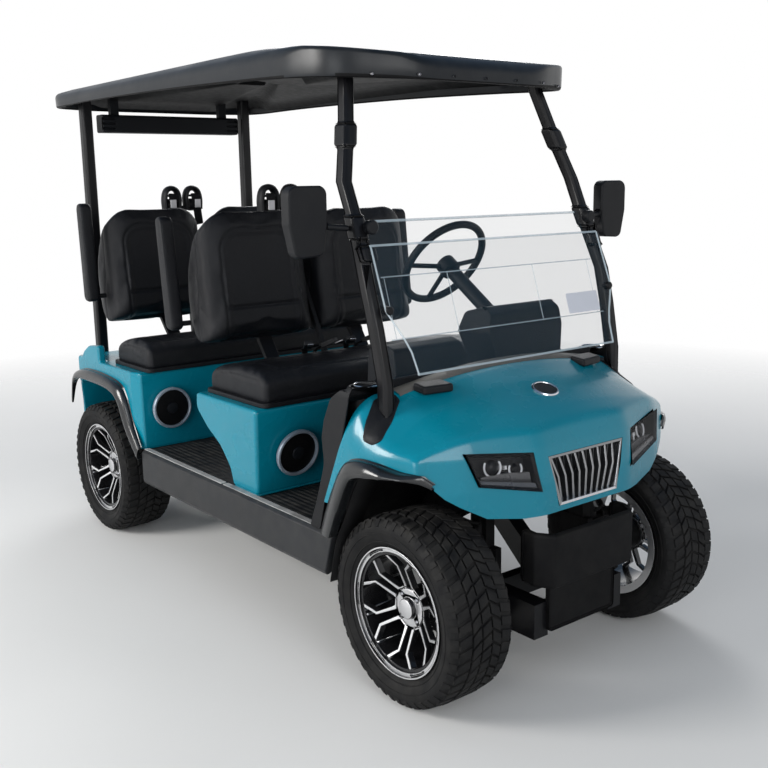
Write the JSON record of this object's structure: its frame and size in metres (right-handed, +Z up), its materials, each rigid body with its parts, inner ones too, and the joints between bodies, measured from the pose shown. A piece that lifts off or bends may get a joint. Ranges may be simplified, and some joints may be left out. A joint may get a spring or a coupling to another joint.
{
  "type": "golf cart",
  "caption": "Open electric passenger cart with two forward-facing rows of padded seats, a hard roof on posts, a folding clear windshield, alloy wheels and steered front axle.",
  "frame": {"origin": "on the ground, at the middle of the overall length and width", "axes": "+Z up, forward is -Y, the driver's side is +X"},
  "size_m": [1.46, 2.8399, 1.974],
  "materials": {
    "teal_paint": "gloss moulded panel",
    "black_plastic": "grained moulding",
    "roof_plastic": "satin moulding",
    "dash_plastic": "grained moulding",
    "seat_vinyl": "stitched vinyl",
    "floor_rubber": "ribbed mat",
    "rocker_grey": "satin panel",
    "frame_steel": "powder coat",
    "post_black": "powder coat",
    "tyre": "all-terrain rubber",
    "alloy": "black with machined edges",
    "steel": "machined",
    "axle_black": "satin",
    "clear_pane": "clear acrylic",
    "lamp_lens": "smoked lens",
    "tail_red": "red lens",
    "grille_chrome": "bright",
    "speaker_black": "mesh with silver ring",
    "battery_grey": "case"
  },
  "bodies": {
    "root": {"chassis_frame": "frame_steel", "floor_pan": "floor_rubber", "front_cowl": "teal_paint", "grille": "grille_chrome", "headlamps": "lamp_lens", "front_valance": "black_plastic", "leg_shields": "black_plastic", "dash": "dash_plastic", "front_posts": "post_black", "windshield_lower": "clear_pane", "windshield_upper": "clear_pane", "roof": "roof_plastic", "rear_posts": "post_black", "sound_bar": "dash_plastic", "steering_column": "dash_plastic", "front_seat_pod": "teal_paint", "front_seat_cushion": "seat_vinyl", "front_seat_backs": "seat_vinyl", "rear_body": "teal_paint", "rear_seat_cushion": "seat_vinyl", "rear_seat_backs": "seat_vinyl", "front_flares": "black_plastic", "rear_flares": "black_plastic", "rockers": "rocker_grey", "speakers": "speaker_black", "belt_towers": "black_plastic", "mirrors": "black_plastic", "front_suspension": "axle_black", "rear_axle": "axle_black", "rear_springs": "axle_black", "battery": "battery_grey", "tail_lamps": "tail_red", "rear_bumper": "black_plastic", "pedals": "black_plastic"},
    "steering_wheel": {"steering_wheel": "dash_plastic"},
    "knuckle_left": {"knuckle_left": "steel"},
    "knuckle_right": {"knuckle_right": "steel"},
    "wheel_front_left": {"tyre_front_left": "tyre", "rim_front_left": "alloy"},
    "wheel_front_right": {"tyre_front_right": "tyre", "rim_front_right": "alloy"},
    "wheel_rear_left": {"tyre_rear_left": "tyre", "rim_rear_left": "alloy"},
    "wheel_rear_right": {"tyre_rear_right": "tyre", "rim_rear_right": "alloy"},
    "armrest_front_left": {"armrest_front_left": "seat_vinyl"},
    "armrest_front_right": {"armrest_front_right": "seat_vinyl"},
    "armrest_rear_left": {"armrest_rear_left": "seat_vinyl"},
    "armrest_rear_right": {"armrest_rear_right": "seat_vinyl"}
  },
  "joints": [
    {"name": "steer_left", "type": "hinge", "parent": "root", "child": "knuckle_left", "pos_m": [0.4, -1.132, 0.288], "axis": [0, 0, 1], "range_deg": [-30, 30]},
    {"name": "steer_right", "type": "hinge", "parent": "root", "child": "knuckle_right", "pos_m": [-0.4, -1.132, 0.288], "axis": [0, 0, 1], "range_deg": [-30, 30]},
    {"name": "steering_wheel_turn", "type": "hinge", "parent": "root", "child": "steering_wheel", "pos_m": [0.24, -0.44195, 1.215], "axis": [0, 0.829, 0.5592], "range_deg": [-360, 360]},
    {"name": "spin_front_left", "type": "hinge", "parent": "knuckle_left", "child": "wheel_front_left", "pos_m": [0.476, -1.132, 0.288], "axis": [1, 0, 0], "continuous": true},
    {"name": "spin_front_right", "type": "hinge", "parent": "knuckle_right", "child": "wheel_front_right", "pos_m": [-0.476, -1.132, 0.288], "axis": [1, 0, 0], "continuous": true},
    {"name": "spin_rear_left", "type": "hinge", "parent": "root", "child": "wheel_rear_left", "pos_m": [0.496, 0.916, 0.288], "axis": [1, 0, 0], "continuous": true},
    {"name": "spin_rear_right", "type": "hinge", "parent": "root", "child": "wheel_rear_right", "pos_m": [-0.496, 0.916, 0.288], "axis": [1, 0, 0], "continuous": true},
    {"name": "armrest_front_left_drop", "type": "hinge", "parent": "root", "child": "armrest_front_left", "pos_m": [0.52, 0.18305, 1], "axis": [1, 0, 0], "range_deg": [0, 95]},
    {"name": "armrest_front_right_drop", "type": "hinge", "parent": "root", "child": "armrest_front_right", "pos_m": [-0.52, 0.18305, 1], "axis": [1, 0, 0], "range_deg": [0, 95]},
    {"name": "armrest_rear_left_drop", "type": "hinge", "parent": "root", "child": "armrest_rear_left", "pos_m": [0.52, 0.966, 1.045], "axis": [1, 0, 0], "range_deg": [0, 95]},
    {"name": "armrest_rear_right_drop", "type": "hinge", "parent": "root", "child": "armrest_rear_right", "pos_m": [-0.52, 0.966, 1.045], "axis": [1, 0, 0], "range_deg": [0, 95]}
  ],
  "couplings": [
    {"joint": "steer_right", "follows": "steer_left", "ratio": 1},
    {"joint": "steering_wheel_turn", "follows": "steer_left", "ratio": 12}
  ]
}
